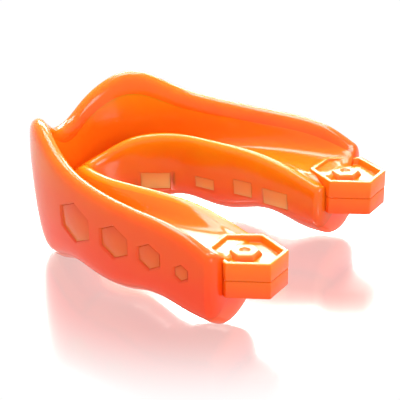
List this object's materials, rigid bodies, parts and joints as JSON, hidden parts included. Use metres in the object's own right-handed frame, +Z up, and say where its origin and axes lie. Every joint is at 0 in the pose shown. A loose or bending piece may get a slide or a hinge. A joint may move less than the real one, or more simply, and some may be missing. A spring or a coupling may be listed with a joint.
{
  "type": "mouthguard",
  "caption": "U-shaped gel mouthguard with a tooth channel, a windowed outer frame, soft jaw pads and hexagonal tab ends.",
  "frame": {"origin": "middle of the base, on the surface that the jaw pads stand on", "axes": "+Z up towards the gum, -Y towards the front teeth, +Y towards the tab ends, +X to one side"},
  "size_m": [0.0636, 0.0675, 0.0301],
  "materials": {
    "frame_gel": "glossy translucent orange",
    "liner_gel": "glossy translucent orange, softer",
    "core_gel": "satin translucent orange",
    "jaw_pad_gel": "glossy translucent orange",
    "tab_gel": "glossy moulded orange",
    "stud_gel": "glossy moulded orange",
    "window_gel": "glossy pale translucent orange"
  },
  "bodies": {
    "root": {"shock_frame": "frame_gel", "lingual_wall": "frame_gel", "gel_liner": "liner_gel", "bite_plate": "core_gel", "jaw_pad_front": "jaw_pad_gel", "jaw_pad_right": "jaw_pad_gel", "jaw_pad_left": "jaw_pad_gel", "end_tab_right": "tab_gel", "end_tab_left": "tab_gel", "tab_base_right": "tab_gel", "tab_base_left": "tab_gel", "locating_stud_right": "stud_gel", "locating_stud_left": "stud_gel", "outer_gel_pad_1_right": "window_gel", "outer_gel_pad_1_left": "window_gel", "outer_gel_pad_2_right": "window_gel", "outer_gel_pad_2_left": "window_gel", "outer_gel_pad_3_right": "window_gel", "outer_gel_pad_3_left": "window_gel", "outer_gel_pad_4_right": "window_gel", "outer_gel_pad_4_left": "window_gel", "inner_gel_pad_1_right": "window_gel", "inner_gel_pad_1_left": "window_gel", "inner_gel_pad_2_right": "window_gel", "inner_gel_pad_2_left": "window_gel", "inner_gel_pad_3_right": "window_gel", "inner_gel_pad_3_left": "window_gel", "inner_gel_pad_4_right": "window_gel", "inner_gel_pad_4_left": "window_gel"}
  },
  "joints": []
}
